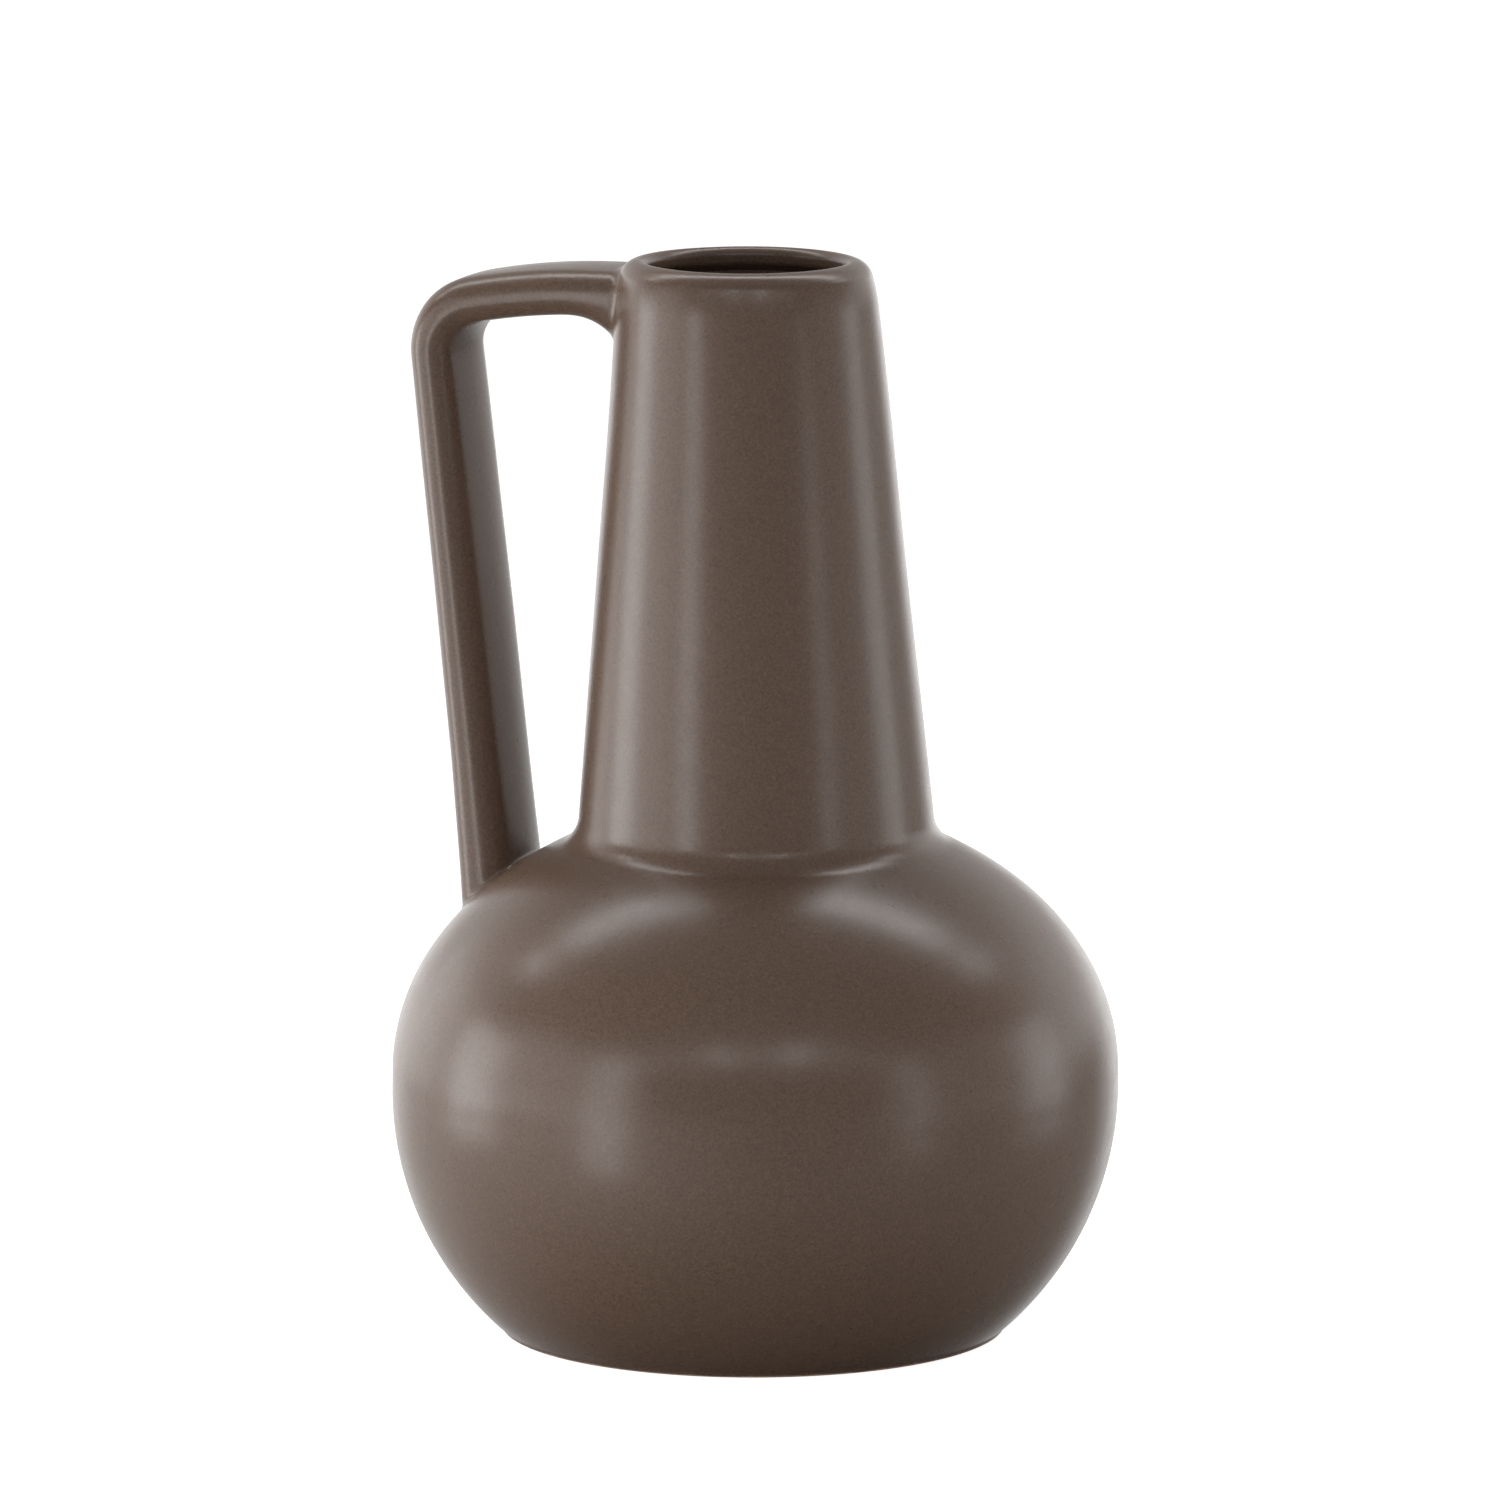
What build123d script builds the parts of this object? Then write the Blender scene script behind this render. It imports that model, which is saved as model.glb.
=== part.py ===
"""One-handled globular ceramic vase, built as a potter builds it.

The belly is thrown in two halves, a bowl and a shoulder. A turned foot ring, a tapered neck,
a mouth ring and a pulled strap handle are luted to it with slip, and each slip joint is a solid
of its own. Millimetres, +Z up, origin on the table at the middle of the foot, handle towards -X.
"""
import math
import os

from build123d import *

# Vessel
TOTAL_HEIGHT = 300.0  # table to the crown of the lip
BELLY_RADIUS = 101.3  # outside, at the widest circle
BOWL_HEIGHT = 68.0  # table to the lap joint at the widest circle
BOWL_EDGE_RADIUS = 71.4  # lowest edge of the bowl, over the foot ring
SHOULDER_RISE = 75.4  # half-height of the ellipse that the shoulder follows
NECK_FOOT_RADIUS = 49.9  # where the neck's straight side meets the shoulder
NECK_TOP_RADIUS = 36.2  # where the neck's straight side meets the lip
SHOULDER_FILLET = 10.0  # hollow curve between shoulder and neck
WALL = 5.5  # thrown wall of bowl, shoulder and neck
FLOOR_THICKNESS = 7.0
FLOOR_FILLET = 8.0  # inside corner between floor and bowl wall
COLLAR_INNER_ROUND = 3.0  # inside edge between shoulder and collar

# Foot ring
FOOT_STANDOFF = 1.6  # table to the bowl's edge
FOOT_INSET = 0.2  # ring's outside, in from the bowl's edge
FOOT_WIDTH = 9.0
FOOT_RECESS = 2.6  # hollow under the floor
FOOT_EDGE_ROUND = 0.5
TONGUE_WIDTH = 4.5  # tongue on top of the ring, in the bowl's groove
TONGUE_TOP = 5.0  # table to the top of the tongue

# Lip
LIP_HEIGHT = 12.0
LIP_TOP_RADIUS = 33.5  # where the lip's drawn-in side would meet the crown
MOUTH_RADIUS = 27.0  # bore through the lip
BORE_DEPTH = 8.0  # crown to the lower end of the bore
LIP_OUTER_ROUND = 3.0
LIP_INNER_ROUND = 3.0

# Joints
SLIP = 0.4  # thickness of the slip film in every thrown joint
BELLY_LAP = 4.5  # height of the lap at the widest circle
COLLAR_RISE = 14.0  # collar above the neck's foot
SPIGOT_LENGTH = 8.0  # neck's spigot inside the collar
SKIRT_LENGTH = 4.0  # lip's skirt inside the neck
PAD = 0.8  # slip pad under each end of the handle
BEAD = 1.2  # slip squeezed out round each end of the handle

# Handle
HANDLE_WIDTH = 29.5
HANDLE_THICKNESS = 12.0
HANDLE_OUTER_ROUND = 5.0
HANDLE_INNER_ROUND = 2.2
REACH_INSET = 4.3  # widest circle of the belly in to the outermost point of the handle
LANDING_INSET = 23.8  # widest circle of the belly in to the middle of the strap on the shoulder
ARM_DROP = 3.8  # crown of the lip down to the top of the arm
ARM_STRAIGHT = 4.0  # level stretch of the arm, from the neck's side
ARCH_RADIUS = 205.0  # slow droop of the arm, at mid-thickness
BEND_RADIUS = 15.0  # corner between arm and upright, at mid-thickness
WEB_RADIUS = 9.0  # hollow curve under the arm, against the neck


# Levels and radii that follow from the sizes above
floor_top = FOOT_RECESS + FLOOR_THICKNESS
dome_base = BOWL_HEIGHT + BELLY_LAP + SLIP
neck_top = TOTAL_HEIGHT - LIP_HEIGHT
half_wall = (WALL - SLIP) / 2

bowl_rise = BOWL_HEIGHT - FOOT_STANDOFF
bowl_centre = (BELLY_RADIUS**2 - BOWL_EDGE_RADIUS**2 - bowl_rise**2) / (
    2 * (BELLY_RADIUS - BOWL_EDGE_RADIUS)
)
bowl_inner_arc = BELLY_RADIUS - WALL - bowl_centre
floor_corner = bowl_centre + math.sqrt(bowl_inner_arc**2 - (BOWL_HEIGHT - floor_top) ** 2)

foot_outer = BOWL_EDGE_RADIUS - FOOT_INSET
foot_inner = foot_outer - FOOT_WIDTH
flange_top = FOOT_STANDOFF - SLIP
tongue_outer = foot_inner + TONGUE_WIDTH
groove_inner = foot_inner - SLIP
groove_outer = tongue_outer + SLIP
groove_top = TONGUE_TOP + SLIP


def dome_height(radius):
    """Height of the shoulder's outside at a distance from the axis."""
    return dome_base + SHOULDER_RISE * math.sqrt(1 - (radius / BELLY_RADIUS) ** 2)


neck_foot = dome_height(NECK_FOOT_RADIUS)
collar_top = neck_foot + COLLAR_RISE


def neck_radius(height):
    """Outside radius of the neck's straight side at a height."""
    share = (height - neck_foot) / (neck_top - neck_foot)
    return NECK_FOOT_RADIUS + (NECK_TOP_RADIUS - NECK_FOOT_RADIUS) * share


collar_bore = neck_radius(collar_top) - WALL
spigot_radius = collar_bore + half_wall
neck_bore = NECK_TOP_RADIUS - WALL
skirt_radius = neck_bore + half_wall
rebate_floor = neck_top - SKIRT_LENGTH - SLIP
bore_floor = TOTAL_HEIGHT - BORE_DEPTH
lip_room = 0.47 * (LIP_TOP_RADIUS - MOUTH_RADIUS)
lip_outer_round = min(LIP_OUTER_ROUND, lip_room)
lip_inner_round = min(LIP_INNER_ROUND, lip_room)
neck_side = (NECK_TOP_RADIUS - NECK_FOOT_RADIUS, neck_top - neck_foot)

handle_reach = BELLY_RADIUS - REACH_INSET
handle_landing = BELLY_RADIUS - LANDING_INSET

# The strap's middle line: level stretch, slow arch, bend, then a straight upright that is tangent
# to the bend and lands on the shoulder
arm_level = TOTAL_HEIGHT - ARM_DROP - HANDLE_THICKNESS / 2
arm_start = neck_radius(arm_level) + ARM_STRAIGHT
bend_x = handle_reach - HANDLE_THICKNESS / 2 - BEND_RADIUS
arch_angle = math.asin((bend_x - arm_start) / (ARCH_RADIUS - BEND_RADIUS))
bend_z = arm_level - ARCH_RADIUS + (ARCH_RADIUS - BEND_RADIUS) * math.cos(arch_angle)
landing_z = dome_height(handle_landing)
landing_to_bend = math.hypot(bend_x - handle_landing, bend_z - landing_z)
lean = math.atan2(bend_x - handle_landing, bend_z - landing_z) + math.asin(BEND_RADIUS / landing_to_bend)
upright_length = math.sqrt(landing_to_bend**2 - BEND_RADIUS**2) + HANDLE_THICKNESS
bend_angle = math.pi / 2 + lean - arch_angle
arm_inside = neck_radius(arm_level) - WALL


def half_ring(inner, outer, low, high, mode=Mode.ADD):
    """Rectangle in the half-section, from one radius and height to another."""
    with Locations((inner, low)):
        Rectangle(outer - inner, high - low, align=(Align.MIN, Align.MIN), mode=mode)


def vessel_outside(grow):
    """Solid of the shoulder, neck and lip with their outside swollen by grow."""
    crown = (LIP_TOP_RADIUS + grow, TOTAL_HEIGHT + grow)
    lip_foot = (NECK_TOP_RADIUS + grow, neck_top)
    with BuildPart() as outside:
        with BuildSketch(Plane.XZ) as half_section:
            with BuildLine():
                Line((0, dome_base), (0, dome_base + SHOULDER_RISE + grow))
                EllipticalCenterArc((0, dome_base), BELLY_RADIUS + grow, SHOULDER_RISE + grow)
                Line((BELLY_RADIUS + grow, dome_base), (0, dome_base))
            make_face()
            with BuildLine():
                Polyline((0, dome_base), (neck_radius(dome_base) + grow, dome_base), lip_foot)
                TangentArc(lip_foot, crown, tangent=neck_side)
                Polyline(crown, (0, TOTAL_HEIGHT + grow), (0, dome_base))
            make_face()
            fillet(half_section.vertices().sort_by_distance(crown)[0], lip_outer_round + grow)
        revolve(axis=Axis.Z)
    return outside.part


def handle_blank(grow):
    """Strap and root web swollen by grow, running on into the vessel at both ends.

    The web's hollow curve is tangent to the arm's underside and to the neck.
    """
    underside = arm_level - HANDLE_THICKNESS / 2 - grow
    taper = math.atan2(-neck_side[0], neck_side[1])
    web_reach = WEB_RADIUS / math.tan((math.pi / 2 - taper) / 2)
    web_corner = neck_radius(underside) + grow
    web_outer = (-web_corner - web_reach, underside)
    web_lower = (
        -web_corner - web_reach * math.sin(taper),
        underside - web_reach * math.cos(taper),
    )
    web_half_width = HANDLE_WIDTH / 2 - HANDLE_INNER_ROUND + grow
    web_angle = math.degrees(math.asin(web_half_width / web_corner))
    with BuildPart() as blank:
        with BuildSketch(Plane.XZ.rotated((0, 0, -web_angle))):
            with BuildLine():
                Polyline(web_lower, (-arm_inside, web_lower[1]), (-arm_inside, arm_level))
                Polyline((-arm_inside, arm_level), (web_outer[0], arm_level), web_outer)
                TangentArc(web_outer, web_lower, tangent=(1, 0))
            make_face()
        revolve(axis=Axis.Z, revolution_arc=2 * web_angle)
        Box(2 * handle_reach, 2 * web_half_width, 2 * TOTAL_HEIGHT, mode=Mode.INTERSECT)
        with BuildLine(Plane.XZ) as route:
            level = Line((-arm_inside, arm_level), (-arm_start, arm_level))
            arch = JernArc(level @ 1, level % 1, ARCH_RADIUS, math.degrees(arch_angle))
            bend = JernArc(arch @ 1, arch % 1, BEND_RADIUS, math.degrees(bend_angle))
            Line(bend @ 1, (bend @ 1) + (bend % 1) * upright_length)
        with BuildSketch(Plane(route.line @ 0, x_dir=(0, -1, 0), z_dir=route.line % 0)) as section:
            Rectangle(HANDLE_WIDTH + 2 * grow, HANDLE_THICKNESS + 2 * grow)
            fillet(section.vertices().group_by(Axis.Y)[-1], HANDLE_OUTER_ROUND + grow)
            fillet(section.vertices().group_by(Axis.Y)[0], HANDLE_INNER_ROUND + grow)
        sweep()
    return blank.part


# Foot ring: flange under the bowl's edge, tongue in the bowl's groove
with BuildPart() as foot_ring:
    with BuildSketch(Plane.XZ) as ring_section:
        half_ring(foot_inner, foot_outer, 0, flange_top)
        half_ring(foot_inner, tongue_outer, 0, TONGUE_TOP)
        fillet(ring_section.vertices().group_by(Axis.Y)[0], FOOT_EDGE_ROUND)
    revolve(axis=Axis.Z)

# Slip on the foot ring's flange and round its tongue
with BuildPart() as foot_slip:
    with BuildSketch(Plane.XZ):
        half_ring(tongue_outer, foot_outer, flange_top, FOOT_STANDOFF)
        half_ring(tongue_outer, groove_outer, flange_top, groove_top)
        half_ring(groove_inner, groove_outer, TONGUE_TOP, groove_top)
        half_ring(groove_inner, foot_inner, FOOT_RECESS, groove_top)
    revolve(axis=Axis.Z)

# Bowl: floor, wall, foot groove below and the tongue of the lap joint above
with BuildPart() as bowl:
    with BuildSketch(Plane.XZ) as bowl_section:
        with BuildLine():
            TangentArc(
                (BELLY_RADIUS, BOWL_HEIGHT), (BOWL_EDGE_RADIUS, FOOT_STANDOFF), tangent=(0, -1)
            )
            Polyline(
                (BOWL_EDGE_RADIUS, FOOT_STANDOFF),
                (groove_outer, FOOT_STANDOFF),
                (groove_outer, groove_top),
                (groove_inner, groove_top),
                (groove_inner, FOOT_RECESS),
                (0, FOOT_RECESS),
                (0, floor_top),
                (floor_corner, floor_top),
            )
            TangentArc(
                (BELLY_RADIUS - WALL, BOWL_HEIGHT), (floor_corner, floor_top), tangent=(0, -1)
            )
            Polyline(
                (BELLY_RADIUS - WALL, BOWL_HEIGHT),
                (BELLY_RADIUS - WALL, BOWL_HEIGHT + BELLY_LAP),
                (BELLY_RADIUS - WALL + half_wall, BOWL_HEIGHT + BELLY_LAP),
                (BELLY_RADIUS - WALL + half_wall, BOWL_HEIGHT),
                (BELLY_RADIUS, BOWL_HEIGHT),
            )
        make_face()
        fillet(bowl_section.vertices().sort_by_distance((floor_corner, floor_top))[0], FLOOR_FILLET)
    revolve(axis=Axis.Z)

# Slip in the lap joint
with BuildPart() as belly_slip:
    with BuildSketch(Plane.XZ):
        tongue_radius = BELLY_RADIUS - WALL + half_wall
        half_ring(tongue_radius, BELLY_RADIUS, BOWL_HEIGHT, BOWL_HEIGHT + SLIP)
        half_ring(tongue_radius, tongue_radius + SLIP, BOWL_HEIGHT, dome_base)
        half_ring(BELLY_RADIUS - WALL, tongue_radius + SLIP, BOWL_HEIGHT + BELLY_LAP, dome_base)
    revolve(axis=Axis.Z)

# Shoulder: straight band over the lap, dome, hollow curve and the collar with the neck's socket
with BuildPart() as shoulder:
    with BuildSketch(Plane.XZ) as shoulder_section:
        with BuildLine():
            Polyline((0, dome_base), (0, dome_base + SHOULDER_RISE))
            EllipticalCenterArc((0, dome_base), BELLY_RADIUS, SHOULDER_RISE)
            Line((BELLY_RADIUS, dome_base), (0, dome_base))
        make_face()
        with BuildLine():
            Polyline(
                (0, neck_foot),
                (NECK_FOOT_RADIUS, neck_foot),
                (neck_radius(collar_top), collar_top),
                (0, collar_top),
                close=True,
            )
        make_face()
        fillet(
            shoulder_section.vertices().sort_by_distance((NECK_FOOT_RADIUS, neck_foot))[0],
            SHOULDER_FILLET,
        )
        with BuildLine():
            Polyline((0, dome_base), (0, dome_base + SHOULDER_RISE - WALL))
            EllipticalCenterArc((0, dome_base), BELLY_RADIUS - WALL, SHOULDER_RISE - WALL)
            Line((BELLY_RADIUS - WALL, dome_base), (0, dome_base))
        make_face(mode=Mode.SUBTRACT)
        half_ring(0, collar_bore, dome_base, collar_top, mode=Mode.SUBTRACT)
        bore_share = collar_bore / (BELLY_RADIUS - WALL)
        bore_foot = dome_base + (SHOULDER_RISE - WALL) * math.sqrt(1 - bore_share**2)
        fillet(
            shoulder_section.vertices().sort_by_distance((collar_bore, bore_foot))[0],
            COLLAR_INNER_ROUND,
        )
        socket_floor = collar_top - SPIGOT_LENGTH - SLIP
        half_ring(0, spigot_radius + SLIP, socket_floor, collar_top, mode=Mode.SUBTRACT)
        half_ring(tongue_radius + SLIP, BELLY_RADIUS, BOWL_HEIGHT + SLIP, dome_base)
    revolve(axis=Axis.Z)

# Slip in the neck's socket
with BuildPart() as neck_slip:
    with BuildSketch(Plane.XZ):
        with BuildLine():
            Polyline(
                (spigot_radius, collar_top),
                (neck_radius(collar_top), collar_top),
                (neck_radius(collar_top + SLIP), collar_top + SLIP),
                (spigot_radius, collar_top + SLIP),
                close=True,
            )
        make_face()
        half_ring(spigot_radius, spigot_radius + SLIP, socket_floor, collar_top)
        half_ring(collar_bore, spigot_radius + SLIP, socket_floor, socket_floor + SLIP)
    revolve(axis=Axis.Z)

# Neck: spigot below, rebate for the lip above
with BuildPart() as neck:
    with BuildSketch(Plane.XZ):
        with BuildLine():
            Polyline(
                (collar_bore, socket_floor + SLIP),
                (spigot_radius, socket_floor + SLIP),
                (spigot_radius, collar_top + SLIP),
                (neck_radius(collar_top + SLIP), collar_top + SLIP),
                (neck_radius(neck_top - SLIP), neck_top - SLIP),
                (skirt_radius + SLIP, neck_top - SLIP),
                (skirt_radius + SLIP, rebate_floor),
                (neck_radius(rebate_floor) - WALL, rebate_floor),
                (collar_bore, collar_top),
                close=True,
            )
        make_face()
    revolve(axis=Axis.Z)

# Slip in the lip's rebate
with BuildPart() as lip_slip:
    with BuildSketch(Plane.XZ):
        with BuildLine():
            Polyline(
                (skirt_radius, neck_top - SLIP),
                (neck_radius(neck_top - SLIP), neck_top - SLIP),
                (NECK_TOP_RADIUS, neck_top),
                (skirt_radius, neck_top),
                close=True,
            )
        make_face()
        half_ring(skirt_radius, skirt_radius + SLIP, rebate_floor, neck_top - SLIP)
        half_ring(neck_radius(rebate_floor) - WALL, skirt_radius, rebate_floor, rebate_floor + SLIP)
    revolve(axis=Axis.Z)

# Lip: drawn-in mouth ring, undercut inside below its bore, with a skirt in the neck's rebate
with BuildPart() as lip:
    with BuildSketch(Plane.XZ) as lip_section:
        with BuildLine():
            Polyline(
                (LIP_TOP_RADIUS, TOTAL_HEIGHT),
                (MOUTH_RADIUS, TOTAL_HEIGHT),
                (MOUTH_RADIUS, bore_floor),
                (neck_bore, bore_floor - (neck_bore - MOUTH_RADIUS)),
                (neck_bore, rebate_floor + SLIP),
                (skirt_radius, rebate_floor + SLIP),
                (skirt_radius, neck_top),
                (NECK_TOP_RADIUS, neck_top),
            )
            TangentArc(
                (NECK_TOP_RADIUS, neck_top), (LIP_TOP_RADIUS, TOTAL_HEIGHT), tangent=neck_side
            )
        make_face()
        fillet(
            lip_section.vertices().sort_by_distance((LIP_TOP_RADIUS, TOTAL_HEIGHT))[0],
            lip_outer_round,
        )
        fillet(
            lip_section.vertices().sort_by_distance((MOUTH_RADIUS, TOTAL_HEIGHT))[0],
            lip_inner_round,
        )
    revolve(axis=Axis.Z)

# The vessel's outside and the strap as plain solids, to fit the ends of the handle with
vessel = vessel_outside(0)
padded_vessel = vessel_outside(PAD)
strap = handle_blank(0)
beaded_strap = handle_blank(BEAD)

# Handle: strap and root web, its ends hollowed to sit on the slip pads
with BuildPart() as handle:
    add(strap)
    add(padded_vessel, mode=Mode.SUBTRACT)

# Slip pad between the handle's arm and the neck
with BuildPart() as handle_top_slip:
    add(beaded_strap)
    add(padded_vessel, mode=Mode.INTERSECT)
    add(vessel, mode=Mode.SUBTRACT)
    split(bisect_by=Plane.XY.offset(collar_top), keep=Keep.TOP)

# Slip pad between the handle's upright and the shoulder
with BuildPart() as handle_bottom_slip:
    add(beaded_strap)
    add(padded_vessel, mode=Mode.INTERSECT)
    add(vessel, mode=Mode.SUBTRACT)
    split(bisect_by=Plane.XY.offset(collar_top), keep=Keep.BOTTOM)

os.makedirs("parts", exist_ok=True)
pieces = {
    "foot_ring": foot_ring,
    "foot_slip": foot_slip,
    "bowl": bowl,
    "belly_slip": belly_slip,
    "shoulder": shoulder,
    "neck_slip": neck_slip,
    "neck": neck,
    "lip_slip": lip_slip,
    "lip": lip,
    "handle": handle,
    "handle_top_slip": handle_top_slip,
    "handle_bottom_slip": handle_bottom_slip,
}
for piece_name, piece in pieces.items():
    piece.part.label = piece_name
    export_step(piece.part, f"parts/{piece_name}.step")
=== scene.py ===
"""One-handled globular vase in a matte taupe glaze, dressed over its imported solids.

Every thrown piece is drawn as an outline and spun on the wheel's axis. The handle is pulled from
one section. A lattice then gives all of them the same slight lean that the kiln left.
"""
import math

import bmesh
import bpy
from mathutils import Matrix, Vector


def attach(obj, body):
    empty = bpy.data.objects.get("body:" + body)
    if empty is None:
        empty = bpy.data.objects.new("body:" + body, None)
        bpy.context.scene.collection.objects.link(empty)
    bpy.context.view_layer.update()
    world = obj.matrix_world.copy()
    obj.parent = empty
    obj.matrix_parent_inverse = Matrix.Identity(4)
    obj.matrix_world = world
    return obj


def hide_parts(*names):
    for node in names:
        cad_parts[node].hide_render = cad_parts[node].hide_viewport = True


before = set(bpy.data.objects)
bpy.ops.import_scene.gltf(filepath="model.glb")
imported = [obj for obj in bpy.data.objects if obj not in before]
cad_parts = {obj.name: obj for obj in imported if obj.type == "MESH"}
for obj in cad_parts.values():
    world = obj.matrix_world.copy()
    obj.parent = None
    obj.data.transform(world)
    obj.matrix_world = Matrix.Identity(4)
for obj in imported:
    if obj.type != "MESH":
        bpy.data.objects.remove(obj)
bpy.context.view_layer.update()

MM = 0.001
FACETS = 192  # round every thrown piece
DRAWN_GAP = 0.001  # points of an outline that are closer than this are one, in millimetres
SPUN_GAP = 0.002  # the same where a spin closes on itself
SMOOTH_ANGLE = 40.0  # degrees, edges sharper than this stay crisp

# Vessel sizes in millimetres, from the solids, with the edges of foot and lip eased
TOTAL_HEIGHT = 300.0
BELLY_RADIUS = 101.3
BOWL_HEIGHT = 68.0
BOWL_EDGE_RADIUS = 71.4
SHOULDER_RISE = 75.4
NECK_FOOT_RADIUS = 49.9
NECK_TOP_RADIUS = 36.2
SHOULDER_FILLET = 10.0
WALL = 5.5
FLOOR_UNDERSIDE = 2.6
FLOOR_TOP = 9.6
FLOOR_FILLET = 8.0
COLLAR_INNER_ROUND = 3.0
FOOT_STANDOFF = 1.6
FOOT_INNER = 62.2
FOOT_FLAT_END = 69.4  # where its flat face stops short of the outer round
FOOT_BASE = 70.2  # where its outer side would meet the table
FOOT_TOP = 71.3  # its outer side under the bowl's edge
FOOT_INNER_ROUND = 0.5
FOOT_OUTER_ROUND = 0.7
GROOVE_INNER = 61.8
GROOVE_OUTER = 67.1
GROOVE_TOP = 5.4
SLIP = 0.4
BELLY_LAP = 4.5
COLLAR_RISE = 14.0
SOCKET_DEPTH = 8.4
LIP_HEIGHT = 12.0
LIP_TOP_RADIUS = 33.5
LIP_OUTER_ROUND = 5.5
LIP_INNER_ROUND = 2.4
MOUTH_RADIUS = 27.0
UNDERCUT_TOP = 296.4  # height where the mouth starts to widen downwards
UNDERCUT_ROUND = 1.8
UNDERCUT_TURN = 0.35 * math.pi  # how far the undercut's round goes before its straight slope
UNDERCUT_SLOPE = 0.6  # drop of that slope against its run
SKIRT_DEPTH = 4.4

# Heights and radii that follow from them
half_wall = (WALL - SLIP) / 2
lap_top = BOWL_HEIGHT + BELLY_LAP
dome_base = lap_top + SLIP
lap_radius = BELLY_RADIUS - WALL + half_wall
neck_top = TOTAL_HEIGHT - LIP_HEIGHT
neck_foot = dome_base + SHOULDER_RISE * math.sqrt(1 - (NECK_FOOT_RADIUS / BELLY_RADIUS) ** 2)
neck_slope = (NECK_TOP_RADIUS - NECK_FOOT_RADIUS) / (neck_top - neck_foot)
collar_top = neck_foot + COLLAR_RISE
lip_seam = neck_top - SLIP


def neck_radius(height):
    """Outside radius of the neck's straight side at a height."""
    return NECK_FOOT_RADIUS + neck_slope * (height - neck_foot)


collar_bore = neck_radius(collar_top) - WALL
socket_radius = collar_bore + half_wall + SLIP
neck_bore = NECK_TOP_RADIUS - WALL
rebate_radius = neck_bore + half_wall + SLIP
rebate_floor = neck_top - SKIRT_DEPTH
bowl_rise = BOWL_HEIGHT - FOOT_STANDOFF
bowl_centre = (BELLY_RADIUS**2 - BOWL_EDGE_RADIUS**2 - bowl_rise**2) / (
    2 * (BELLY_RADIUS - BOWL_EDGE_RADIUS)
)
bowl_outer_arc = BELLY_RADIUS - bowl_centre
bowl_inner_arc = bowl_outer_arc - WALL


# Strokes of an outline, as points (radius, height) after the stroke's start, a spacing apart

def stroke(start, end, spacing):
    """A straight stroke."""
    count = max(1, round(math.dist(start, end) / spacing))
    return [
        (start[0] + (end[0] - start[0]) * k / count, start[1] + (end[1] - start[1]) * k / count)
        for k in range(1, count + 1)
    ]


def round_stroke(centre, radius, start_angle, end_angle, spacing):
    """An arc about a centre, angles in radians from outwards, counted upwards."""
    count = max(3, round(radius * abs(end_angle - start_angle) / spacing))
    points = []
    for k in range(1, count + 1):
        angle = start_angle + (end_angle - start_angle) * k / count
        points.append((centre[0] + radius * math.cos(angle), centre[1] + radius * math.sin(angle)))
    return points


def dome_stroke(radius, rise, start_angle, end_angle, spacing):
    """Part of the shoulder's ellipse, which stands on dome_base."""
    count = max(3, round(radius * abs(end_angle - start_angle) / spacing))
    points = []
    for k in range(1, count + 1):
        angle = start_angle + (end_angle - start_angle) * k / count
        points.append((radius * math.cos(angle), dome_base + rise * math.sin(angle)))
    return points


def rounded_corner(before, corner, after, radius, spacing):
    """Points of the arc that rounds a corner between two straight strokes."""
    corner, before, after = Vector(corner), Vector(before), Vector(after)
    into = (before - corner).normalized()
    out = (after - corner).normalized()
    half_angle = into.angle(out) / 2
    centre = corner + (into + out).normalized() * (radius / math.sin(half_angle))
    first = corner + into * (radius / math.tan(half_angle))
    last = corner + out * (radius / math.tan(half_angle))
    turn = math.pi - 2 * half_angle
    count = max(3, round(radius * turn / spacing))
    points = []
    for k in range(count + 1):
        share = k / count
        first_part = math.sin((1 - share) * turn) / math.sin(turn)
        last_part = math.sin(share * turn) / math.sin(turn)
        arm = (first - centre) * first_part + (last - centre) * last_part
        points.append(tuple(centre + arm))
    return points


def throw(name, outline, closed):
    """Draws an outline point by point, closed or open, and spins it once round the axis."""
    bpy.ops.object.select_all(action="DESELECT")
    bpy.ops.mesh.primitive_plane_add(size=2 * MM)
    piece = bpy.context.object
    piece.name = name
    piece.data.name = name
    bpy.ops.object.mode_set(mode="EDIT")
    bpy.ops.mesh.select_all(action="SELECT")
    bpy.ops.mesh.merge(type="CENTER")
    bpy.ops.transform.translate(value=(outline[0][0] * MM, 0, outline[0][1] * MM))
    path = outline[1:] + (outline[:1] if closed else [])
    here = outline[0]
    for there in path:
        step = ((there[0] - here[0]) * MM, 0, (there[1] - here[1]) * MM)
        bpy.ops.mesh.extrude_vertices_move(TRANSFORM_OT_translate={"value": step})
        here = there
    bpy.ops.mesh.select_all(action="SELECT")
    bpy.ops.mesh.remove_doubles(threshold=DRAWN_GAP * MM)
    bpy.ops.mesh.spin(steps=FACETS, angle=2 * math.pi, center=(0, 0, 0), axis=(0, 0, 1))
    bpy.ops.mesh.select_all(action="SELECT")
    bpy.ops.mesh.remove_doubles(threshold=SPUN_GAP * MM)
    bpy.ops.mesh.normals_make_consistent(inside=False)
    bpy.ops.object.mode_set(mode="OBJECT")
    return piece


# Camera, at the photograph's viewing angle, in metres

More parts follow.
